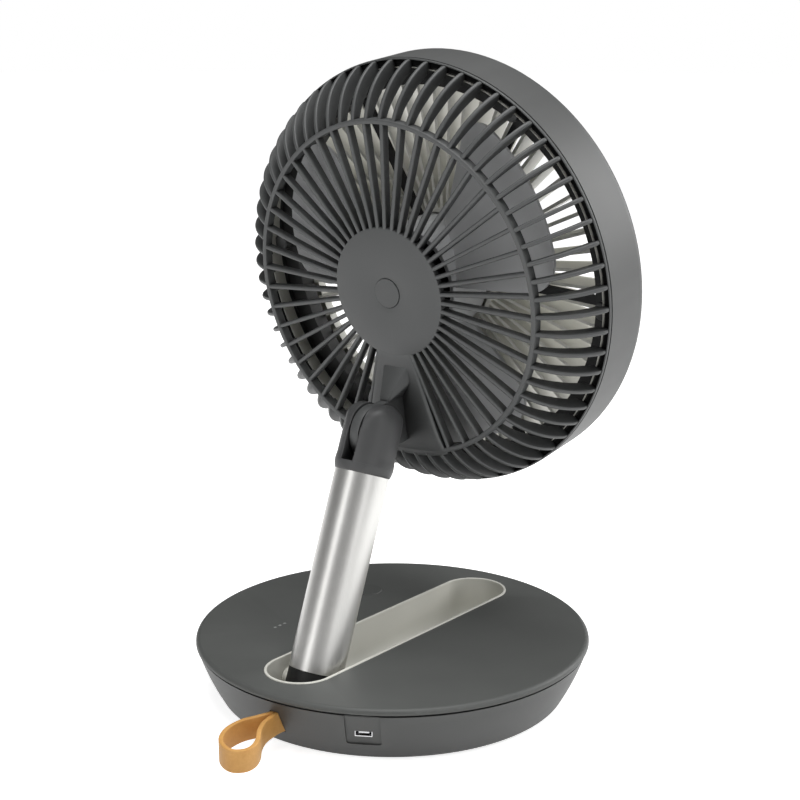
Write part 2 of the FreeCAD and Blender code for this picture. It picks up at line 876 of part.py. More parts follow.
def frame_screws():
    z0 = spoke_frame_front()
    tip = ring_depth - spigot_length + frame_boss_length - 1
    group = []
    for x, y in frame_screw_places():
        head = rod(frame_screw_head, frame_screw_head_height, x, y, z0)
        stem = rod(frame_screw_radius, tip - z0, x, y, z0)
        group.append(fused([head, stem]))
    return Part.makeCompound(group)


def motor_screw_places():
    return on_circle(motor_screw_circle, spaced(motor_screws, 90))


def motor_middle():
    back = hub_depth - hub_thickness - flange_thickness
    return (motor_front + back) / 2


def motor_flange():
    back = hub_depth - hub_thickness
    plate = tube(flange_radius, bearing_radius, flange_thickness, 0, 0, back - flange_thickness)
    holes = [rod(motor_screw_radius + 0.1, 10, x, y, back - 6) for x, y in motor_screw_places()]
    return plate.cut(Part.makeCompound(holes))


def motor_can():
    back = hub_depth - hub_thickness - flange_thickness
    shell = tube(motor_radius, motor_radius - motor_wall, back - motor_front, 0, 0, motor_front)
    face = tube(motor_radius, bearing_radius, motor_wall, 0, 0, motor_front)
    return fused([shell, face])


def motor_bearing(z):
    return tube(bearing_radius, shaft_radius + shaft_fit, bearing_length, 0, 0, z)


def front_bearing():
    return motor_bearing(motor_front)


def rear_bearing():
    return motor_bearing(hub_depth - hub_thickness - bearing_length)


def motor_stator():
    middle = motor_middle()
    return tube(motor_radius - motor_wall, stator_inner, stator_length, 0, 0, middle - stator_length / 2)


def motor_rotor():
    middle = motor_middle()
    return tube(rotor_radius, shaft_radius, rotor_length, 0, 0, middle - rotor_length / 2)


def motor_shaft():
    front = impeller_hub_front - nut_height + nut_wall
    return rod(shaft_radius, hub_depth - hub_thickness - 0.4 - front, 0, 0, front)


def motor_screw_set():
    back = hub_depth - hub_thickness
    group = []
    for x, y in motor_screw_places():
        head = rod(motor_screw_head, 1.5, x, y, back - flange_thickness - 1.5)
        stem = rod(motor_screw_radius, flange_thickness + 2.2, x, y, back - flange_thickness - 0.2)
        group.append(fused([head, stem]))
    return Part.makeCompound(group)


def blade_section(distance):
    """Closed outline of one blade in a plane square to its middle radius."""
    half = distance * math.tan(math.radians(blade_sweep + 3))
    run = 2 * half
    rise = blade_back - blade_front
    length = math.hypot(run, rise)
    normal_u, normal_w = rise / length, run / length
    top, bottom = [], []
    steps = 6
    for i in range(steps + 1):
        t = i / steps
        bow = blade_camber * 4 * t * (1 - t)
        u = half - run * t
        w = blade_front + rise * t
        top.append(Vec(distance, u + normal_u * (bow + blade_thickness / 2), w + normal_w * (bow + blade_thickness / 2)))
        bottom.append(Vec(distance, u + normal_u * (bow - blade_thickness / 2), w + normal_w * (bow - blade_thickness / 2)))
    upper = Part.BSplineCurve()
    upper.interpolate(top)
    lower = Part.BSplineCurve()
    lower.interpolate(bottom)
    edges = [upper.toShape(), line(top[-1], bottom[-1]), lower.toShape(), line(bottom[0], top[0])]
    return Part.Wire(edges)


def blade_outline():
    """Seen along the shaft, a blade is a sector with rounded outer corners."""
    root, tip = blade_root_radius, blade_tip_radius
    sector = Part.makeCylinder(tip, 40, Vec(0, 0, 10), Vec(0, 0, 1), 2 * blade_sweep)
    sector = rotated(sector, Vec(0, 0, 1), -blade_sweep)
    corners = []
    for e in sector.Edges:
        c = e.CenterOfMass
        on_tip = abs(math.hypot(c.x, c.y) - tip) < 1e-3
        if on_tip and e.BoundBox.ZLength > 30:
            corners.append(e)
    sector = sector.makeFillet(blade_corner, corners)
    return sector.cut(rod(root, through, 0, 0, 0))


def impeller():
    start, end = blade_root_radius - 8, blade_tip_radius + 6
    places = [start, (start + end) / 2, end]
    blank = Part.makeLoft([blade_section(place) for place in places], True, False)
    blade = blank.common(blade_outline())
    wall = tube(impeller_hub_radius, impeller_hub_radius - impeller_hub_wall, impeller_hub_back - impeller_hub_front, 0, 0, impeller_hub_front)
    face = rod(impeller_hub_radius, impeller_hub_wall, 0, 0, impeller_hub_front)
    boss = rod(impeller_boss_radius, impeller_boss_length, 0, 0, impeller_hub_front)
    hub = fused([wall, face, boss])
    edges = [e for e in hub.Edges if abs(e.CenterOfMass.z - impeller_hub_front) < 1e-6]
    hub = hub.makeFillet(1.5, edges)
    fan = fused([hub] + [rotated(blade, Vec(0, 0, 1), a) for a in spaced(blades, blade_first)])
    return fan.cut(rod(shaft_radius, through, 0, 0, 0))


def impeller_nut():
    nut = rod(nut_radius, nut_height, 0, 0, impeller_hub_front - nut_height)
    nut = nut.makeFillet(1.2, [e for e in nut.Edges if abs(e.CenterOfMass.z - impeller_hub_front + nut_height) < 1e-6])
    return nut.cut(rod(shaft_radius, through, 0, 0, impeller_hub_front - nut_height + nut_wall))


def cell_places():
    pitch = 2 * cell_radius + cell_gap
    return [cell_x, cell_x - pitch]


def cell_height():
    return base_underside + base_plate + cradle_wall + cell_radius


def battery_cell(index):
    x = cell_places()[index]
    body = rod(cell_radius, cell_length, x, -cell_length / 2, cell_height(), Vec(0, 1, 0))
    rims = [e for e in body.Edges if e.BoundBox.YLength < 1e-6]
    body = body.makeFillet(0.8, rims)
    return fused([body, rod(3.0, 1.0, x, cell_length / 2 - 0.1, cell_height(), Vec(0, 1, 0))])


def battery_cradle():
    x_right = cell_places()[0] + cell_radius + cradle_wall
    x_left = cell_places()[1] - cell_radius - cradle_wall
    half = cell_length / 2 + 1.2
    floor = base_underside + base_plate
    cradle = block(x_left, x_right, -half - cradle_wall, half + cradle_wall, floor, floor + cradle_depth)
    cells = [rod(cell_radius + cradle_fit, 2 * half, x, -half, cell_height(), Vec(0, 1, 0)) for x in cell_places()]
    return cut_each(cradle, cells)


def cut_each(shape, tools):
    for tool in tools:
        shape = shape.cut(tool)
    return shape


def main_circuit_board():
    z0 = board_top - board_thickness
    plate = block(board_x - board_width / 2, board_x + board_width / 2, -board_length / 2, board_length / 2, z0, board_top)
    chip = block(board_x - chip_size / 2, board_x + chip_size / 2, -chip_size / 2, chip_size / 2, board_top, board_top + chip_height)
    coil = rod(coil_radius, coil_height, board_x - 9, 14, board_top)
    return fused([plate, chip, coil])


def tact_switch():
    half = switch_size / 2
    body = block(button_x - half, button_x + half, button_y - half, button_y + half, board_top, board_top + switch_height)
    return body


def button_bottom():
    return cover_top + button_proud - button_height


def return_dome():
    """Rubber dome that holds the button up over its switch."""
    z0 = board_top + switch_height
    return Part.makeCone(dome_radius, dome_radius - 1.2, button_bottom() - button_travel - z0, Vec(button_x, button_y, z0))


def power_button():
    top = cover_top + button_proud
    cap = rod(button_radius, button_height, button_x, button_y, top - button_height)
    cap = cap.makeFillet(0.5, [e for e in cap.Edges if abs(e.CenterOfMass.z - top) < 1e-6])
    flange_top = cover_top - cover_thickness
    flange = rod(button_radius + button_flange, flange_top - button_bottom(), button_x, button_y, button_bottom())
    return fused([cap, flange])


def indicator_lights():
    under = cover_top - cover_thickness
    span = (light_count - 1) * light_pitch / 2 + 3
    bar = block(light_x - 2.5, light_x + 2.5, light_y - span, light_y + span, under - light_bar_thickness, under)
    pipes = []
    for i in range(light_count):
        y = light_y + (i - (light_count - 1) / 2) * light_pitch
        pipes.append(rod(light_radius, cover_thickness, light_x, y, under))
    post = block(light_x - 1.5, light_x + 1.5, light_y - span, light_y + span, board_top, under - light_bar_thickness)
    return fused([bar, post] + pipes)


def usb_socket():
    half_w, half_h = socket_width / 2, socket_height / 2
    front = wall_radius(port_height, port_pocket_depth) - 0.4
    outer = block(-half_w, half_w, front - socket_length, front, port_height - half_h, port_height + half_h)
    inner = block(-half_w + socket_wall, half_w - socket_wall, front - socket_length + 1, front + 1, port_height - half_h + socket_wall, port_height + half_h - socket_wall)
    tongue_piece = block(-half_w + 1.6, half_w - 1.6, front - socket_length, front - 1.2, port_height - 0.35, port_height + 0.35)
    return port_frame(fused([outer.cut(inner), tongue_piece]))


def usb_board():
    half = port_board_width / 2
    front = wall_radius(port_height, base_wall) - 1.0
    top = port_height - socket_height / 2
    plate = block(-half, half, front - port_board_length, front - 1.0, top - board_thickness, top)
    floor = base_underside + base_plate
    posts = [rod(2.2, top - board_thickness - floor, x, front - port_board_length + 3, floor) for x in (-half + 3, half - 3)]
    return port_frame(fused([plate] + posts))


def loop_exit():
    return wall_radius(loop_bottom + loop_height / 2)


def strap_side(inset):
    """One face of the strap in plan: straight in the wall slot, then round the drop."""
    mouth = loop_exit() + loop_straight
    near = loop_x + loop_strand_offset
    far = loop_x - loop_strand_offset
    centre = [Vec(near, mouth, 0)]
    centre += [Vec(loop_x + x, loop_exit() + y, 0) for x, y in loop_plan]
    centre.append(Vec(far, mouth, 0))
    side = [centre[0] + Vec(inset, 0, 0)]
    for i in range(1, len(centre) - 1):
        run = centre[i + 1] - centre[i - 1]
        run.normalize()
        side.append(centre[i] + Vec(run.y, -run.x, 0) * inset)
    side.append(centre[-1] - Vec(inset, 0, 0))
    curve = Part.BSplineCurve()
    curve.interpolate(Points=side, InitialTangent=Vec(0, 1, 0), FinalTangent=Vec(0, -1, 0))
    tail = Vec(0, mouth - loop_exit() + loop_tail, 0)
    start, end = side[0] - tail, side[-1] - tail
    return start, end, [line(start, side[0]), curve.toShape(), line(side[-1], end)]


def rivet_place():
    return loop_exit() - loop_tail + rivet_head_radius, loop_bottom + loop_height / 2


def leather_loop():
    half = loop_thickness / 2
    outer_start, outer_end, outer = strap_side(half)
    inner_start, inner_end, inner = strap_side(-half)
    edges = outer + [line(outer_end, inner_end)] + inner[::-1] + [line(inner_start, outer_start)]
    band = Part.Face(Part.Wire(edges)).extrude(Vec(0, 0, loop_height))
    y, z = rivet_place()
    hole = rod(rivet_radius + rivet_fit, 20, loop_x - 10, y, z, Vec(1, 0, 0))
    return moved(band, 0, 0, loop_bottom).cut(hole)


def loop_rivet():
    """Clamps both strap ends together behind the wall, wider than the slot."""
    y, z = rivet_place()
    half = loop_strand_offset + loop_thickness / 2 + rivet_fit
    parts = [rod(rivet_radius, 2 * half, loop_x - half, y, z, Vec(1, 0, 0))]
    for x0 in (loop_x - half - rivet_head_height, loop_x + half):
        parts.append(rod(rivet_head_radius, rivet_head_height, x0, y, z, Vec(1, 0, 0)))
    return fused(parts)


def grip_pad():
    """Soft round pad in the underside's recess: the fan stands on it."""
    pad = rod(pad_radius, base_underside + pad_recess)
    return pad.makeFillet(0.3, [e for e in pad.Edges if abs(e.CenterOfMass.z) < 1e-6])


def base_screws():
    group = []
    for a in screw_places():
        x, y = screw_circle * math.cos(a), screw_circle * math.sin(a)
        head = rod(screw_head, screw_head_height, x, y, base_underside + 0.2)
        stem = rod(screw_radius, boss_top() - base_underside - 0.2, x, y, base_underside + 0.2)
        group.append(fused([head, stem]))
    return Part.makeCompound(group)


save("base_bottom_shell", base_bottom_shell())
save("base_top_cover", base_top_cover())
save("arm_tray", arm_tray())
save("pivot_bracket_left", pivot_bracket(-1))
save("pivot_bracket_right", pivot_bracket(1))
save("base_pivot_pin", base_pivot_pin())
save("pivot_spacers", pivot_spacers())
save("battery_cell_inner", battery_cell(0))
save("battery_cell_outer", battery_cell(1))
save("battery_cradle", battery_cradle())
save("main_circuit_board", main_circuit_board())
save("tact_switch", tact_switch())
save("return_dome", return_dome())
save("power_button", power_button())
save("indicator_lights", indicator_lights())
save("usb_socket", usb_socket())
save("usb_board", usb_board())
save("leather_loop", leather_loop())
save("loop_rivet", loop_rivet())
save("grip_pad", grip_pad())
save("base_screws", base_screws())
save("lower_knuckle", on_arm(lower_knuckle()))
save("arm_tube", on_arm(arm_tube()))
save("arm_lead", on_arm(arm_lead()))
save("upper_fork", on_arm(upper_fork()))
save("fork_cap", on_arm(fork_cap()))
save("head_pivot_pin", on_arm(head_pivot_pin()))
save("hinge_washers", on_arm(hinge_washers()))
save("head_ring", on_head(head_ring()))
save("rear_grille", on_head(rear_grille()))
save("hub_plug", on_head(hub_plug()))
save("front_grille", on_head(front_grille()))
save("front_badge", on_head(front_badge()))
save("spoke_frame", on_head(spoke_frame()))
save("frame_screws", on_head(frame_screws()))
save("motor_flange", on_head(motor_flange()))
save("motor_can", on_head(motor_can()))
save("front_bearing", on_head(front_bearing()))
save("rear_bearing", on_head(rear_bearing()))
save("motor_stator", on_head(motor_stator()))
save("motor_rotor", on_head(motor_rotor()))
save("motor_shaft", on_head(motor_shaft()))
save("motor_screws", on_head(motor_screw_set()))
save("impeller", on_head(impeller()))
save("impeller_nut", on_head(impeller_nut()))
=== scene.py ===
import math
import bmesh
import bpy
from mathutils import Matrix, Vector


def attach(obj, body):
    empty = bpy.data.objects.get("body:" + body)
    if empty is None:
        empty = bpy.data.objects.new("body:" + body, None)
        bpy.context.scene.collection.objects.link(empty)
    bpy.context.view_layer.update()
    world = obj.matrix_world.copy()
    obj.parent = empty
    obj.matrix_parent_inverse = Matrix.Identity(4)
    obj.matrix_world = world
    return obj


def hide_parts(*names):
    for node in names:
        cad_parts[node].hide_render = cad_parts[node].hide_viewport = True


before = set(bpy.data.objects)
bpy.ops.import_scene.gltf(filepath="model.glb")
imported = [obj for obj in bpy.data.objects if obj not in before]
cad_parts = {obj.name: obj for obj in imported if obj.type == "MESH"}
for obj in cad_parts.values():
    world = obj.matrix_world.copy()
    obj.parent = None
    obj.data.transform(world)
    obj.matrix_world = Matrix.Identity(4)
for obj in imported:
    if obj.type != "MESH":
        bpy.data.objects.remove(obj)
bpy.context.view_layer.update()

# Everything is in metres, in the frame of the solids: +Z up, the fan blows towards -Y.

# Camera, at the photograph's viewing place
camera_place = Vector((-0.4363, 0.5365, 0.3052))
camera_target = Vector((-0.00613, 0.00171, 0.14748))
camera_lens = 65.88
camera_sensor = 36.0

# Lean of the raised arm, away from the base's middle
arm_lean = math.radians(21.15)


def nodes_of(name):
    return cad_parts[name]


# Node helpers for the procedural materials

class Shader:
    """Short way to write a node material."""

    def __init__(self, name):
        self.material = bpy.data.materials.new(name)
        self.material.use_nodes = True
        self.tree = self.material.node_tree
        self.surface = self.tree.nodes["Principled BSDF"]
        self.place = self.add("ShaderNodeNewGeometry").outputs["Position"]

    def add(self, kind, **settings):
        node = self.tree.nodes.new(kind)
        for key, value in settings.items():
            setattr(node, key, value)
        return node

    def link(self, a, b):
        self.tree.links.new(a, b)

    def set(self, socket, value):
        self.surface.inputs[socket].default_value = value

    def noise(self, scale, detail=4.0, rough=0.55, place=None, distortion=0.0):
        node = self.add("ShaderNodeTexNoise")
        node.inputs["Scale"].default_value = scale
        node.inputs["Detail"].default_value = detail
        node.inputs["Roughness"].default_value = rough
        node.inputs["Distortion"].default_value = distortion
        self.link(place or self.place, node.inputs["Vector"])
        return node.outputs["Fac"]

    def span(self, source, low, high, from_low=0.0, from_high=1.0):
        node = self.add("ShaderNodeMapRange")
        node.inputs["From Min"].default_value = from_low
        node.inputs["From Max"].default_value = from_high
        node.inputs["To Min"].default_value = low
        node.inputs["To Max"].default_value = high
        self.link(source, node.inputs["Value"])
        return node.outputs["Result"]

    def maths(self, operation, a, b=None):
        node = self.add("ShaderNodeMath", operation=operation)
        for slot, value in ((0, a), (1, b)):
            if value is None:
                continue
            if isinstance(value, (int, float)):
                node.inputs[slot].default_value = value
            else:
                self.link(value, node.inputs[slot])
        return node.outputs[0]

    def mix(self, share, a, b):
        node = self.add("ShaderNodeMix", data_type="RGBA")
        if isinstance(share, (int, float)):
            node.inputs[0].default_value = share
        else:
            self.link(share, node.inputs[0])
        for slot, value in ((6, a), (7, b)):
            if isinstance(value, tuple):
                node.inputs[slot].default_value = value if len(value) == 4 else (*value, 1)
            else:
                self.link(value, node.inputs[slot])
        return node.outputs[2]

    def bump(self, height, strength, distance, normal=None):
        node = self.add("ShaderNodeBump")
        node.inputs["Strength"].default_value = strength
        node.inputs["Distance"].default_value = distance
        self.link(height, node.inputs["Height"])
        if normal is not None:
            self.link(normal, node.inputs["Normal"])
        return node.outputs["Normal"]

    def edges(self, low, high):
        """Paler edges, from the geometry's pointiness."""
        geometry = self.add("ShaderNodeNewGeometry")
        return self.span(geometry.outputs["Pointiness"], 0.0, 1.0, low, high)


def moulded_plastic(name, colour, roughness=0.48, grain=0.5, edge_pale=0.10, specular=0.5, painted_shade_floor=1.0):
    """Satin injection-moulded plastic: fine spark-eroded grain, faint flow marks, edges a little paler.

    The last setting, under 1, paints shade into hollows found by ambient occlusion, down to that share of the
    colour.
    """
    s = Shader(name)
    pale = tuple(min(1.0, c * 1.35 + 0.01) for c in colour)
    dark = tuple(c * 0.88 for c in colour)
    drift = s.noise(9.0, 3.0, 0.6)
    base = s.mix(s.span(drift, 0.0, 1.0, 0.32, 0.68), dark, tuple(min(1.0, c * 1.08) for c in colour))
    edge_paling = s.maths("MULTIPLY", s.edges(0.51, 0.60), edge_pale * 4)
    painted = s.mix(edge_paling, base, pale)
    # Painted shade: colour darkened to near black in hollows that ambient occlusion finds.
    if painted_shade_floor < 1.0:
        occlusion_shade = s.add("ShaderNodeAmbientOcclusion", samples=8)
        occlusion_shade.inputs["Distance"].default_value = 0.016
        unshaded_share = s.span(occlusion_shade.outputs["AO"], painted_shade_floor, 1.0, 0.25, 0.85)
        painted = s.mix(unshaded_share, tuple(c * 0.04 for c in colour), painted)
    s.link(painted, s.surface.inputs["Base Color"])
    fine = s.noise(5200.0, 2.0, 0.6)
    smear = s.noise(38.0, 4.0, 0.62)
    rough = s.maths("ADD", s.span(fine, roughness - 0.05, roughness + 0.05), s.span(smear, -0.04, 0.04))
    s.link(rough, s.surface.inputs["Roughness"])
    s.link(s.bump(fine, 0.22 * grain, 0.00006), s.surface.inputs["Normal"])
    s.set("Specular IOR Level", specular)
    return s.material


def brushed_tube(name):
    """Fine-blasted anodised aluminium with faint draw lines along the tube."""
    s = Shader(name)
    along = s.add("ShaderNodeMapping")
    along.inputs["Rotation"].default_value = (-arm_lean, 0, 0)
    along.inputs["Scale"].default_value = (1, 1, 0.02)
    s.link(s.place, along.inputs["Vector"])
    lines = s.noise(1500.0, 3.0, 0.6, along.outputs["Vector"])
    grain = s.noise(6500.0, 2.0, 0.5)
    cloud = s.noise(22.0, 3.0, 0.5)
    tone = s.mix(s.span(cloud, 0.0, 1.0, 0.3, 0.7), (0.60, 0.595, 0.575), (0.68, 0.675, 0.655))
    tone = s.mix(s.span(lines, 0.0, 0.25, 0.35, 0.65), tone, (0.74, 0.735, 0.72))
    s.link(tone, s.surface.inputs["Base Color"])
    rough = s.maths("ADD", s.span(grain, 0.36, 0.44), s.span(lines, -0.03, 0.03))
    s.link(rough, s.surface.inputs["Roughness"])
    s.link(s.bump(lines, 0.10, 0.00004, s.bump(grain, 0.12, 0.00003)), s.surface.inputs["Normal"])
    s.set("Metallic", 1.0)
    return s.material


def plain_metal(name, colour, roughness=0.32):
    s = Shader(name)
    scratch = s.noise(900.0, 4.0, 0.7, distortion=0.6)
    cloud = s.noise(60.0, 3.0, 0.5)
    tone = s.mix(s.span(cloud, 0.0, 1.0, 0.3, 0.7), tuple(c * 0.85 for c in colour), colour)
    s.link(tone, s.surface.inputs["Base Color"])
    s.link(s.span(scratch, roughness - 0.08, roughness + 0.1), s.surface.inputs["Roughness"])
    s.link(s.bump(scratch, 0.08, 0.00004), s.surface.inputs["Normal"])
    s.set("Metallic", 1.0)
    return s.material


def rubber(name, colour):
    s = Shader(name)
    fine = s.noise(2600.0, 3.0, 0.6)
    dust = s.noise(30.0, 4.0, 0.6)
    tone = s.mix(s.span(dust, 0.0, 0.5, 0.5, 0.8), colour, tuple(c + 0.03 for c in colour))
    s.link(tone, s.surface.inputs["Base Color"])
    s.link(s.span(fine, 0.78, 0.92), s.surface.inputs["Roughness"])
    s.link(s.bump(fine, 0.3, 0.00008), s.surface.inputs["Normal"])
    s.set("Specular IOR Level", 0.3)
    return s.material


def leather(name):
    """Vegetable-tanned strap: pores and fine creases."""
    s = Shader(name)
    pores = s.add("ShaderNodeTexVoronoi", feature="DISTANCE_TO_EDGE")
    pores.inputs["Scale"].default_value = 1500.0
    s.link(s.place, pores.inputs["Vector"])
    cloud = s.noise(70.0, 4.0, 0.6)
    fibre = s.noise(900.0, 5.0, 0.7)
    tone = s.mix(s.span(cloud, 0.0, 1.0, 0.3, 0.7), (0.60, 0.30, 0.075), (0.74, 0.41, 0.13))
    tone = s.mix(s.span(fibre, 0.0, 0.25, 0.4, 0.7), tone, (0.50, 0.23, 0.06))
    s.link(tone, s.surface.inputs["Base Color"])
    s.link(s.span(fibre, 0.48, 0.66), s.surface.inputs["Roughness"])
    crease = s.span(pores.outputs["Distance"], 0.0, 1.0, 0.0, 0.12)
    s.link(s.bump(crease, 0.25, 0.00006, s.bump(fibre, 0.2, 0.00005)), s.surface.inputs["Normal"])
    return s.material


materials = {
    "shell": moulded_plastic("shell_plastic", (0.060, 0.062, 0.060), 0.50),
    "cover": moulded_plastic("cover_plastic", (0.082, 0.086, 0.082), 0.52),
    # Painted shade: the grille's hollows are darkened to black in its colour.
    "grille": moulded_plastic("grille_plastic", (0.080, 0.083, 0.083), 0.46, painted_shade_floor=0.0),
    "ring": moulded_plastic("ring_plastic", (0.070, 0.072, 0.071), 0.50),
    # Painted shade: the fork's hollows are darkened nearly to black in its colour.
    "fork": moulded_plastic("fork_plastic", (0.066, 0.067, 0.068), 0.48, painted_shade_floor=0.05),
    "dark": moulded_plastic("dark_plastic", (0.012, 0.012, 0.012), 0.5, specular=0.3),
    # Painted shade: near-black paint for the ring that stands in for shadow inside the rim.
    "shade_paint": moulded_plastic("rim_shadow_plastic", (0.003, 0.003, 0.003), 0.9, specular=0.05),
    "cream": moulded_plastic("cream_plastic", (0.66, 0.655, 0.60), 0.42, 0.4, 0.02),
    "blade": moulded_plastic("blade_plastic", (0.40, 0.405, 0.41), 0.40),
    "nylon": moulded_plastic("natural_nylon", (0.62, 0.61, 0.56), 0.5),
    "lens": moulded_plastic("lens_plastic", (0.30, 0.31, 0.30), 0.25),
    "board": moulded_plastic("solder_resist", (0.02, 0.12, 0.05), 0.35),
    "wrap": moulded_plastic("cell_wrap", (0.03, 0.14, 0.28), 0.3),
    "tube": brushed_tube("tube_aluminium"),
    "steel": plain_metal("pin_steel", (0.55, 0.55, 0.56)),
    "screw": plain_metal("screw_steel", (0.30, 0.30, 0.31), 0.38),
    "copper": plain_metal("winding_copper", (0.72, 0.35, 0.16), 0.35),
    "rubber": rubber("grip_rubber", (0.020, 0.020, 0.020)),
    "leather": leather("tan_leather"),
}

finish_of = {
    "base_bottom_shell": "shell", "base_top_cover": "cover", "power_button": "cover",
    "arm_tray": "cream", "front_grille": "cream", "front_badge": "cream",
    "arm_tube": "tube", "upper_fork": "fork", "fork_cap": "fork", "lower_knuckle": "dark",
    "head_ring": "ring", "rear_grille": "grille", "hub_plug": "grille", "spoke_frame": "dark",
    "impeller": "blade", "impeller_nut": "blade", "motor_can": "dark", "motor_flange": "dark",
    "grip_pad": "rubber", "return_dome": "rubber", "arm_lead": "rubber", "leather_loop": "leather",
    "battery_cell_inner": "wrap", "battery_cell_outer": "wrap", "battery_cradle": "dark",
    "main_circuit_board": "board", "usb_board": "board", "tact_switch": "dark", "indicator_lights": "lens",
    "usb_socket": "steel", "pivot_spacers": "nylon", "hinge_washers": "steel", "motor_stator": "copper",
    "base_screws": "screw", "frame_screws": "screw", "motor_screws": "screw",
}


def dress(name):
    obj = nodes_of(name)
    obj.data.materials.clear()
    obj.data.materials.append(materials[finish_of.get(name, "steel")])


for node_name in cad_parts:
    dress(node_name)


# Mesh helpers

head_tilt = math.radians(9.4)
head_place = Vector((0, -0.055964, 0.208854))
head_frame = (
    Matrix.Translation(head_place)
    @ Matrix.Rotation(math.radians(90) - head_tilt, 4, "X")
    @ Matrix.Rotation(math.pi, 4, "Y")
)


def build_piece(name, mesh_data, material, body, replaced=(), sharp=35):
    """Makes one visible piece from points and faces and hands it to the frame."""
    points, faces = mesh_data
    mesh = bpy.data.meshes.new(name)
    mesh.from_pydata([tuple(p) for p in points], [], faces)
    cleaned = bmesh.new()
    cleaned.from_mesh(mesh)
    bmesh.ops.recalc_face_normals(cleaned, faces=cleaned.faces)
    cleaned.to_mesh(mesh)
    cleaned.free()
    mesh.shade_smooth()
    mesh.set_sharp_from_angle(angle=math.radians(sharp))
    obj = bpy.data.objects.new(name, mesh)
    bpy.context.scene.collection.objects.link(obj)
    obj.data.materials.append(materials[material])
    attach(obj, body)
    if replaced:
        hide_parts(*replaced)
    return obj


def joined(parts):
    """Several (points, faces) pairs as one."""
    points, faces = [], []
    for more_points, more_faces in parts:
        start = len(points)
        points += list(more_points)
        faces += [tuple(i + start for i in face) for face in more_faces]
    return points, faces


def placed(matrix, mesh_data):
    points, faces = mesh_data
    return [matrix @ Vector(p) for p in points], faces


def tube_faces(rings, around, closed=False):
    """Quads that join rings of points; end caps unless the tube closes on itself."""
    faces = []
    last = rings if closed else rings - 1
    for i in range(last):
        a, b = i * around, (i + 1) % rings * around
        for j in range(around):
            k = (j + 1) % around
            faces.append((a + j, a + k, b + k, b + j))
    if not closed:
        faces.append(tuple(range(around))[::-1])
        faces.append(tuple((rings - 1) * around + j for j in range(around)))
    return faces


def rounded_outline(low, high, radius, steps=4):
    """Rectangle from low to high in two axes, each corner an arc."""
    corners = [(high[0], high[1], 0), (low[0], high[1], 90), (low[0], low[1], 180), (high[0], low[1], 270)]
    outline = []
    for x, y, start in corners:
        cx = x - math.copysign(radius, x - (low[0] + high[0]) / 2)
        cy = y - math.copysign(radius, y - (low[1] + high[1]) / 2)
        for i in range(steps + 1):
            turn = math.radians(start + 90 * i / steps)
            outline.append((cx + radius * math.cos(turn), cy + radius * math.sin(turn)))
    return outline


def revolved(outline, steps=192):
    """A closed outline of (radius, height) turned about the local Z axis."""
    points = []
    for i in range(steps):
        turn = 2 * math.pi * i / steps
        points += [(r * math.cos(turn), r * math.sin(turn), z) for r, z in outline]
    return points, tube_faces(steps, len(outline), closed=True)


def turned_disc(outline, steps=128):
    """An open outline of (radius, height) that starts and ends on the axis, as a solid of revolution."""
    inner = outline[1:-1]
    points = [(0, 0, outline[0][1])]
    for i in range(steps):
        turn = 2 * math.pi * i / steps
        points += [(r * math.cos(turn), r * math.sin(turn), z) for r, z in inner]
    points.append((0, 0, outline[-1][1]))
    faces, n = [], len(inner)
    for i in range(steps):
        a, b = 1 + i * n, 1 + (i + 1) % steps * n
        faces.append((0, b, a))
        faces += [(a + j, b + j, b + j + 1, a + j + 1) for j in range(n - 1)]
        faces.append((a + n - 1, b + n - 1, len(points) - 1))
    return points, faces


# Leather carry loop: loop_plan is the middle line of the strap, from its slot in the wall

loop_thickness = 0.0020
loop_corner = 0.0004
loop_x = -0.008
loop_mouth = 0.09406
loop_tail = 0.0084
loop_straight = 0.001
loop_strand_offset = 0.0012
loop_bottom = 0.0094
loop_height = 0.0104
loop_plan = [
    (0.0033, 0.0079), (0.0059, 0.0154), (0.0055, 0.0248), (0.0013, 0.0329), (-0.0052, 0.0377),
    (-0.0117, 0.0391),
    (-0.0155, 0.0358), (-0.0155, 0.0304), (-0.0121, 0.0237), (-0.0072, 0.0173), (-0.0031, 0.0097),
]


def smooth_path(points, per_span=10):
    """Catmull-Rom curve through the points, as a list of places."""
    knots = [points[0] * 2 - points[1]] + points + [points[-1] * 2 - points[-2]]
    path = []
    for i in range(1, len(knots) - 2):
        a, b, c, d = knots[i - 1:i + 3]
        for k in range(per_span):
            t = k / per_span
            square, cube = 2 * a - 5 * b + 4 * c - d, 3 * b - a - 3 * c + d
            path.append(0.5 * ((2 * b) + (c - a) * t + square * t * t + cube * t ** 3))
    path.append(points[-1])
    return path


def leather_strap():
    """Flat strap with rounded, slightly swollen edges and a faint wave along its length."""
    mouth = loop_mouth + loop_straight
    near = loop_x + loop_strand_offset
    far = loop_x - loop_strand_offset
    tail = [loop_mouth - loop_tail, loop_mouth - loop_tail / 2, mouth]
    places = [Vector((near, y, 0)) for y in tail]
    places += [Vector((loop_x + x, loop_mouth + y, 0)) for x, y in loop_plan]
    places += [Vector((far, y, 0)) for y in reversed(tail)]
    path = smooth_path(places)
    half = loop_thickness / 2
    outline = rounded_outline((-half, 0), (half, loop_height), loop_corner, 3)
    points = []
    for i, place in enumerate(path):
        run = (path[min(i + 1, len(path) - 1)] - path[max(i - 1, 0)]).normalized()
        side = Vector((run.y, -run.x, 0))
        share = i / (len(path) - 1)
        free = min(1.0, max(0.0, (place.y - mouth) / 0.01))
        wave = 0.00018 * math.sin(31 * share) * free
        for across, up in outline:
            cup = 1.0 + 0.06 * math.cos(2 * math.pi * up / loop_height)
            lift = loop_bottom + up + 0.0002 * math.sin(17 * share) * free
            points.append(place + side * (across * cup + wave) + Vector((0, 0, lift)))
    return points, tube_faces(len(path), len(outline))


build_piece("carry_loop", leather_strap(), "leather", "base", ["leather_loop"])


# Rear grille: one moulding of rounded ribs, drawn in millimetres in the head's own frame,
# with the radius out from the axis and the depth back from the ring's front

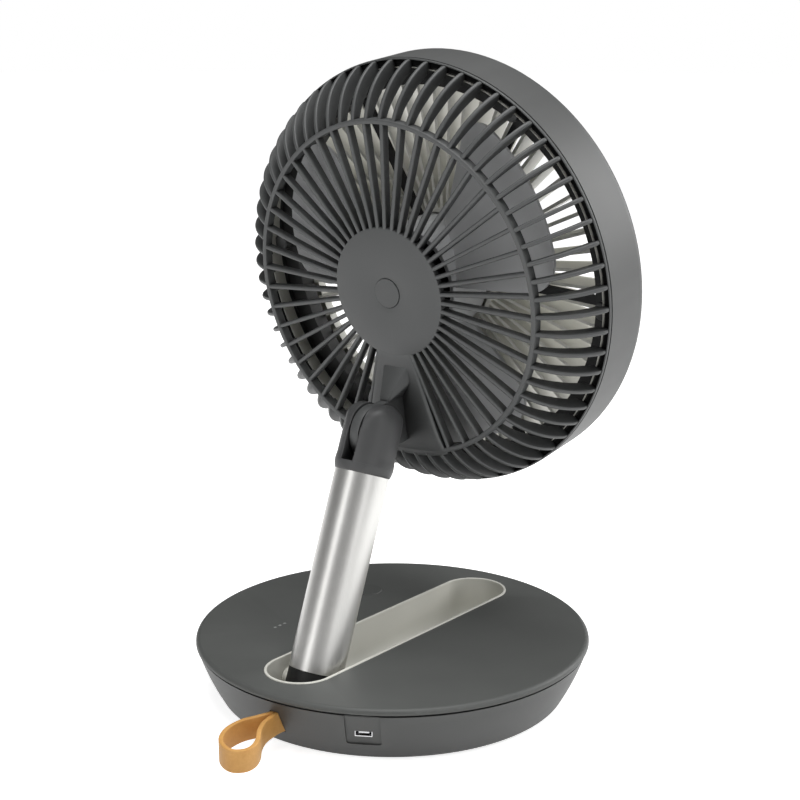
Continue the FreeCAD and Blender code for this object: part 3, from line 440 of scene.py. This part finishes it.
mm = Matrix.Scale(0.001, 4)
hub_radius, hub_depth = 31.9, 60.6
mid_ring_radius, mid_ring_width, mid_ring_depth, mid_ring_thickness = 82.4, 2.4, 58.7, 4.6
inner_ribs, inner_rib_width, inner_rib_height = 48, 2.1, 4.4
outer_ribs, outer_rib_width, outer_rib_height = 64, 2.1, 6.4
bulge, shoulder, land_root = (97.3, 48.4), (105.3, 35.2), (105.3, 32.2)
inner_rib_bend, inner_rib_slope = 18, 0.038
spigot_inner, spigot_outer, spigot_front = 101.6, 103.0, 22.6
land_inner, land_outer, land_top, seam_depth = 105.0, 105.8, 33.4, 31.65
tongue_top, tongue_top_half, tongue_foot, tongue_foot_half = 29.0, 9.9, 84.0, 25.8
tongue_bend_start, tongue_bend_length, tongue_bend_drop = mid_ring_radius - 14, 17.6, 3.3
boss_count, boss_first, boss_circle = 6, 55, 98.2
hinge_below, hinge_behind = 62.8, 83.0
lug_thickness, lug_radius = 5.4, 13.4


def rib_section(width, height, crown=0.75, steps=6):
    """Across and inward from the rib's crown: rounded top, sides with a little draft."""
    half = width / 2
    section = []
    for i in range(steps + 1):
        turn = math.pi * i / steps
        section.append((half * math.cos(turn), crown * (1 - math.sin(turn))))
    foot = half * 0.86
    return section + [(-foot, height), (foot, height)]


def rib_along(line, degrees, width, heights):
    """A rib that follows a line of (radius, depth), with its crown outward."""
    points, rings = [], len(line)
    for i, (r, z) in enumerate(line):
        r0, z0 = line[max(i - 1, 0)]
        r1, z1 = line[min(i + 1, rings - 1)]
        run = Vector((r1 - r0, z1 - z0)).normalized()
        inward = Vector((run.y, -run.x))
        if inward.x > 0:
            inward = -inward
        section = rib_section(width, heights[i])
        points += [(r + inward.x * down, across, z + inward.y * down) for across, down in section]
    return placed(Matrix.Rotation(math.radians(degrees), 4, "Z"), (points, tube_faces(rings, len(section))))


def arc_through(a, b, c, steps):
    """Points on the circle through three (radius, depth) points, from a to c."""
    (ax, ay), (bx, by), (cx, cy) = a, b, c
    d = 2 * (ax * (by - cy) + bx * (cy - ay) + cx * (ay - by))
    aa, bb, cc = ax * ax + ay * ay, bx * bx + by * by, cx * cx + cy * cy
    ux = (aa * (by - cy) + bb * (cy - ay) + cc * (ay - by)) / d
    uy = (aa * (cx - bx) + bb * (ax - cx) + cc * (bx - ax)) / d
    radius = math.hypot(ax - ux, ay - uy)
    start = math.atan2(ay - uy, ax - ux)
    end = math.atan2(cy - uy, cx - ux)
    turns = [start + (end - start) * i / steps for i in range(steps + 1)]
    return [(ux + radius * math.cos(t), uy + radius * math.sin(t)) for t in turns]


def tongue_half(below):
    share = (below - tongue_top) / (tongue_foot - tongue_top)
    return tongue_top_half + (tongue_foot_half - tongue_top_half) * share


def clear_of_tongue(degrees, radius):
    down = math.radians(degrees + 90)
    below = radius * math.cos(down)
    return below < 0 or abs(radius * math.sin(down)) > tongue_half(below) - 1.0


def dome_ribs():
    parts = []
    ring_inner = mid_ring_radius - mid_ring_width + 0.4
    inner_line = [
        (hub_radius - 1.2, hub_depth - 0.1),
        (hub_radius + inner_rib_bend, hub_depth - 0.1 - inner_rib_bend * inner_rib_slope),
        (ring_inner, mid_ring_depth - 0.1),
    ]
    for i in range(inner_ribs):
        turn = 90 + 360 / inner_ribs * (i + 0.5)
        if clear_of_tongue(turn, mid_ring_radius - 12):
            parts.append(rib_along(inner_line, turn, inner_rib_width, [inner_rib_height] * 3))
    start = (mid_ring_radius - 1.0, mid_ring_depth - 0.1)
    outer_line = arc_through(start, bulge, shoulder, 16) + [(105.3, 33.8), land_root]
    heights = [4.4 + (outer_rib_height - 4.4) * min(1.0, i / 8) for i in range(17)] + [5.2, 3.0]
    for i in range(outer_ribs):
        turn = 90 + 360 / outer_ribs * (i + 0.5)
        parts.append(rib_along(outer_line, turn, outer_rib_width, heights))
    return parts


def rounded_ring(inner, outer, low, high, crown=0.5):
    """Ring section with a softened top edge on each side."""
    return [
        (inner, low), (outer, low), (outer, high - crown), (outer - crown * 0.3, high - crown * 0.3),
        (outer - crown, high), (inner + crown, high), (inner + crown * 0.3, high - crown * 0.3),
        (inner, high - crown),
    ]


def grille_rings():
    collar = [
        (spigot_inner, spigot_front), (spigot_outer, spigot_front), (spigot_outer, seam_depth),
        (105.3, seam_depth), (105.3, 32.0), (land_outer, 32.25), (land_outer, 33.0), (105.68, 33.28),
        (105.4, land_top), (105.15, 33.35), (land_inner, 33.1), (land_inner, 31.8),
        (spigot_outer, 31.8), (spigot_inner, 31.2),
    ]
    mid_inner, mid_low = mid_ring_radius - mid_ring_width, mid_ring_depth - mid_ring_thickness
    mid = rounded_ring(mid_inner, mid_ring_radius, mid_low, mid_ring_depth)
    hub = [
        (0, hub_depth - 3.0), (hub_radius, hub_depth - 3.0), (hub_radius, hub_depth - 0.9),
        (hub_radius - 0.26, hub_depth - 0.26), (hub_radius - 0.9, hub_depth), (7.9, hub_depth),
        (7.35, hub_depth - 0.18), (7.25, hub_depth - 0.5), (7.25, hub_depth - 1.2), (0, hub_depth - 1.2),
    ]
    return [revolved(collar, 256), revolved(mid, 256), turned_disc(hub, 192)]


def tongue_plate():
    """Flush with the hub, widening down to the edge of the dome."""
    foot_radius = mid_ring_radius + 1.4
    low = mid_ring_depth - mid_ring_thickness
    across = [-1.0, -0.97, -0.93, -0.88] + [i / 8 - 0.75 for i in range(13)] + [0.88, 0.93, 0.97, 1.0]
    drops = {0: 0.9, 1: 0.35, 2: 0.08}
    rows = 24
    top, bottom = [], []
    for i in range(rows + 1):
        share = i / rows
        for j, u in enumerate(across):
            end = math.sqrt(foot_radius ** 2 - (u * tongue_foot_half) ** 2)
            start = math.sqrt((hub_radius - 0.9) ** 2 - (u * tongue_top_half) ** 2)
            below = start + (end - start) * share
            x = u * tongue_half(max(below, tongue_top))
            past = max(0.0, below - tongue_bend_start)
            depth = hub_depth - tongue_bend_drop * (past / tongue_bend_length) ** 1.5
            depth -= drops.get(min(j, len(across) - 1 - j), 0.0)
            depth -= drops.get(rows - i, 0.0)
            top.append((x, -below, depth))
            bottom.append((x, -below, low))
    count = len(across)
    points = top + bottom
    offset = len(top)
    faces = []
    for i in range(rows):
        for j in range(count - 1):
            a, b = i * count + j, (i + 1) * count + j
            faces.append((a, b, b + 1, a + 1))
            faces.append((a + offset, a + 1 + offset, b + 1 + offset, b + offset))
    border = [i * count for i in range(rows + 1)]
    border += [rows * count + j for j in range(1, count)]
    border += [i * count + count - 1 for i in range(rows - 1, -1, -1)]
    border += list(range(count - 2, 0, -1))
    for a, b in zip(border, border[1:] + border[:1]):
        faces.append((a, a + offset, b + offset, b))
    return points, faces


def softened_hull(places, radius, segments=3):
    """Convex solid round some points, every edge rounded."""
    solid = bmesh.new()
    for place in places:
        solid.verts.new(place)
    bmesh.ops.convex_hull(solid, input=solid.verts)
    bmesh.ops.dissolve_limit(solid, angle_limit=0.01, verts=solid.verts, edges=solid.edges)
    bmesh.ops.bevel(
        solid, geom=list(solid.edges), offset=radius, segments=segments, profile=0.5, affect="EDGES"
    )
    solid.verts.index_update()
    points = [tuple(v.co) for v in solid.verts]
    faces = [tuple(v.index for v in face.verts) for face in solid.faces]
    solid.free()
    return points, faces


def about_hinge(mesh_data):
    """Turns a disc drawn about Z into one about the hinge's axis, across the head."""
    turn = Matrix.Translation((0, -hinge_below, hinge_behind)) @ Matrix.Rotation(math.radians(90), 4, "Y")
    return placed(turn, mesh_data)


def neck_parts():
    half = lug_thickness / 2
    wedge = []
    for side in (-1, 1):
        wedge += [(side * 7.8, -34.5, 58.6), (side * 7.8, -45.0, 58.6), (side * 7.8, -44.6, 60.9)]
        wedge += [(side * half, -50.0, 71.7), (side * half, -51.6, 71.7), (side * half, -51.6, 58.6)]
    disc = [
        (4.0, -half), (lug_radius - 0.5, -half), (lug_radius - 0.15, -half + 0.15),
        (lug_radius, -half + 0.5), (lug_radius, half - 0.5), (lug_radius - 0.15, half - 0.15),
        (lug_radius - 0.5, half), (4.0, half),
    ]
    web = [
        (x, y - hinge_below, z)
        for x in (-half, half) for y in (-12.0, 12.0) for z in (58.6, hinge_behind - 6)
    ]
    return [softened_hull(wedge, 0.5), about_hinge(revolved(disc, 96)), softened_hull(web, 0.3, 2)]


def frame_bosses():
    """Blind bosses that take the screws of the spoke frame."""
    outline = [(1.5, 0), (4.2, 0), (4.2, 5.6), (3.8, 6.0), (0, 6.0)]
    bosses = []
    for i in range(boss_count):
        turn = math.radians(boss_first - 360 // boss_count * i)
        place = Matrix.Translation((boss_circle * math.cos(turn), boss_circle * math.sin(turn), spigot_front))
        bosses.append(placed(place, turned_disc([(0, 5.0), (1.5, 5.0)] + outline, 24)))
    return bosses


dome_parts = dome_ribs() + grille_rings() + [tongue_plate()] + neck_parts() + frame_bosses()
build_piece(
    "rear_dome", placed(head_frame @ mm, joined(dome_parts)),
    "grille", "head", ["rear_grille"], 40
)


# Inside the rim: a near-black ring of painted shade under the rib ends, and the pale wall of the front
# moulding

shade_outline = [(102.6, 31.7), (104.98, 31.7), (104.98, 31.95), (102.6, 31.95)]
liner = [(101.2, 25.2), (101.55, 25.2), (101.55, 32.3), (101.45, 32.5), (101.3, 32.5), (101.2, 32.3)]
# Painted shade: a near-black band where the rim's inside lies only in shadow.
build_piece("rim_shadow_band", placed(head_frame @ mm, revolved(shade_outline, 256)), "shade_paint", "head")
build_piece("front_liner", placed(head_frame @ mm, revolved(liner, 256)), "cream", "head")


# Fork at the head of the arm, drawn in millimetres along the arm from its lower pivot

arm_frame = Matrix.Translation((0, 0.0599, 0.0190)) @ Matrix.Rotation(arm_lean, 4, "X")
arm_length, tube_radius, tube_end = 122.6, 13.2, 102.4
fork_radius, fork_cheek_radius, fork_cheek_drop = 14.0, 17.4, 1.6
slot_half, slot_floor = 3.3, 107.0
ear_straight, ear_round = 15.6, 13.9
collar_height, collar_step = 8.0, 0.5


def fork_reach(up, turn):
    """Distance from the arm's axis to the fork's skin at a height, in one direction about the axis."""
    x, y = abs(math.cos(turn)), abs(math.sin(turn))
    rise = up - arm_length
    limits = [fork_radius]
    if up < tube_end + collar_height:
        share = (up - tube_end) / collar_height
        swell = collar_step * math.sin(math.pi * share)
        limits = [tube_radius + 0.1 + (fork_radius - tube_radius - 0.1) * share ** 0.5 + swell]
    if rise > 0:
        limits.append(math.sqrt(max(fork_radius ** 2 - rise ** 2, 0.01)) / max(y, 0.001))
    if rise > -6:
        limits.append(math.sqrt(max(fork_cheek_radius ** 2 - (rise + fork_cheek_drop) ** 2, 0.01)))
    power = 14
    return sum(limit ** -power for limit in limits) ** (-1 / power)


def fork_stem():
    """From the collar's lower edge up to the floor of the slot."""
    heights = [tube_end + t for t in (0.0, 0.15, 0.4, 0.8, 1.4, 2.2, 3.2, 4.2)]
    heights += [slot_floor - 0.12, slot_floor]
    around = 96
    points = []
    for i, up in enumerate(heights):
        shrink = {0: 0.25, 1: 0.08}.get(i, 0.0) + (0.12 if up == slot_floor else 0.0)
        for j in range(around):
            turn = 2 * math.pi * j / around
            reach = fork_reach(up, turn) - shrink
            points.append((reach * math.cos(turn), reach * math.sin(turn), up))
    return points, tube_faces(len(heights), around)


def fork_ear(side):
    """One ear: the part of the fork beyond the slot, its inner edge softened."""
    rises = [-0.6, 0.0] + [ear_straight * t / 10 for t in range(1, 10)]
    rises += [ear_straight + ear_round * math.sin(math.pi / 2 * t / 16) for t in range(17)]
    around = 40
    edge = 0.45
    points = []
    for rise in rises:
        up = slot_floor + rise
        depth = fork_reach(up, math.pi / 2 - 0.001)
        skin = []
        for j in range(around + 1):
            y = -math.cos(math.pi * j / around)
            low_x = slot_half
            corner = fork_reach(up, math.atan2(depth, low_x))
            reach_y = y * math.sqrt(max(corner ** 2 - low_x ** 2, 0.0001))
            x = low_x
            for _ in range(6):
                reach = fork_reach(up, math.atan2(abs(reach_y), x))
                x = math.sqrt(max(reach ** 2 - reach_y ** 2, low_x ** 2))
            skin.append((x, reach_y))
        soft = []
        for j, (x, y) in enumerate(skin):
            if j in (0, around):
                x = slot_half + edge
            soft.append((x, y))
        span = soft[-1][1]
        inner = [
            (slot_half + 0.13, span - 0.1), (slot_half, span - edge),
            (slot_half, -span + edge), (slot_half + 0.13, -span + 0.1),
        ]
        if span < edge * 2.5:
            inner = [
                (slot_half + edge * 0.6, span * 0.5), (slot_half + edge * 0.5, span * 0.2),
                (slot_half + edge * 0.5, -span * 0.2), (slot_half + edge * 0.6, -span * 0.5),
            ]
        points += [(side * x, y, up) for x, y in soft + inner]
    return points, tube_faces(len(rises), around + 5)


build_piece(
    "arm_fork", placed(arm_frame @ mm, joined([fork_stem(), fork_ear(-1), fork_ear(1)])),
    "fork", "arm", ["upper_fork", "fork_cap"], 50
)


# Studio: pale floor, white surroundings, soft lamps

floor_glow_near, floor_glow_far = 0.80, 1.0
floor_glow_from, floor_glow_to = 0.5, 2.0
sky_light, sky_seen = 0.10, 1.0
lamp_aim = (0, 0, 0.12)


def floor_paint():
    """Pale paint that the camera sees as white, darker in the object's shadow.

    Its glow grows with distance, where the lamps no longer reach.
    """
    s = Shader("floor_paint")
    s.set("Base Color", (0.80, 0.80, 0.80, 1))
    s.set("Roughness", 0.95)
    s.set("Specular IOR Level", 0.0)
    path = s.add("ShaderNodeLightPath")
    seen = s.maths("MAXIMUM", path.outputs["Is Camera Ray"], path.outputs["Is Transmission Ray"])
    seen = s.maths("MAXIMUM", seen, path.outputs["Is Glossy Ray"])
    s.set("Emission Color", (1, 1, 1, 1))
    away = s.add("ShaderNodeVectorMath", operation="LENGTH")
    s.link(s.place, away.inputs[0])
    glow = s.span(away.outputs["Value"], floor_glow_near, floor_glow_far, floor_glow_from, floor_glow_to)
    s.link(s.maths("MULTIPLY", seen, glow), s.surface.inputs["Emission Strength"])
    return s.material


def build_floor():
    half = 40.0
    mesh = bpy.data.meshes.new("floor")
    corners = [(-half, -half, 0), (half, -half, 0), (half, half, 0), (-half, half, 0)]
    mesh.from_pydata(corners, [], [(0, 1, 2, 3)])
    floor = bpy.data.objects.new("floor", mesh)
    bpy.context.scene.collection.objects.link(floor)
    floor.data.materials.append(floor_paint())


def build_world():
    world = bpy.data.worlds.new("studio")
    bpy.context.scene.world = world
    world.use_nodes = True
    tree = world.node_tree
    back = tree.nodes["Background"]
    path = tree.nodes.new("ShaderNodeLightPath")
    seen = tree.nodes.new("ShaderNodeMath")
    seen.operation = "MAXIMUM"
    tree.links.new(path.outputs["Is Camera Ray"], seen.inputs[0])
    tree.links.new(path.outputs["Is Transmission Ray"], seen.inputs[1])
    level = tree.nodes.new("ShaderNodeMapRange")
    level.inputs["To Min"].default_value = sky_light
    level.inputs["To Max"].default_value = sky_seen
    tree.links.new(seen.outputs[0], level.inputs["Value"])
    back.inputs["Color"].default_value = (1, 1, 1, 1)
    tree.links.new(level.outputs["Result"], back.inputs["Strength"])


def soft_lamp(name, place, target, size, power):
    data = bpy.data.lights.new(name, "AREA")
    data.shape = "RECTANGLE"
    data.size, data.size_y = size
    data.energy = power
    lamp = bpy.data.objects.new(name, data)
    bpy.context.scene.collection.objects.link(lamp)
    lamp.location = place
    lamp.rotation_euler = (Vector(target) - Vector(place)).to_track_quat("-Z", "Y").to_euler()


def build_camera():
    data = bpy.data.cameras.new("camera")
    data.lens = camera_lens
    data.sensor_width = camera_sensor
    data.sensor_fit = "HORIZONTAL"
    data.clip_start = 0.01
    camera = bpy.data.objects.new("camera", data)
    bpy.context.scene.collection.objects.link(camera)
    camera.location = camera_place
    camera.rotation_euler = (camera_target - camera_place).to_track_quat("-Z", "Y").to_euler()
    bpy.context.scene.camera = camera


build_floor()
build_world()
build_camera()
soft_lamp("top_lamp", (-0.2, 0.1, 1.7), lamp_aim, (1.3, 1.3), 25)
soft_lamp("left_lamp", (0.20, 1.45, 0.75), lamp_aim, (0.35, 1.2), 5.0)
soft_lamp("right_lamp", (-1.45, 0.42, 0.75), lamp_aim, (0.35, 1.2), 3.5)
soft_lamp("front_lamp", (-0.8, -1.4, 0.8), (0, 0, 0.2), (1.0, 1.0), 18)

bpy.context.scene.view_settings.view_transform = "Standard"
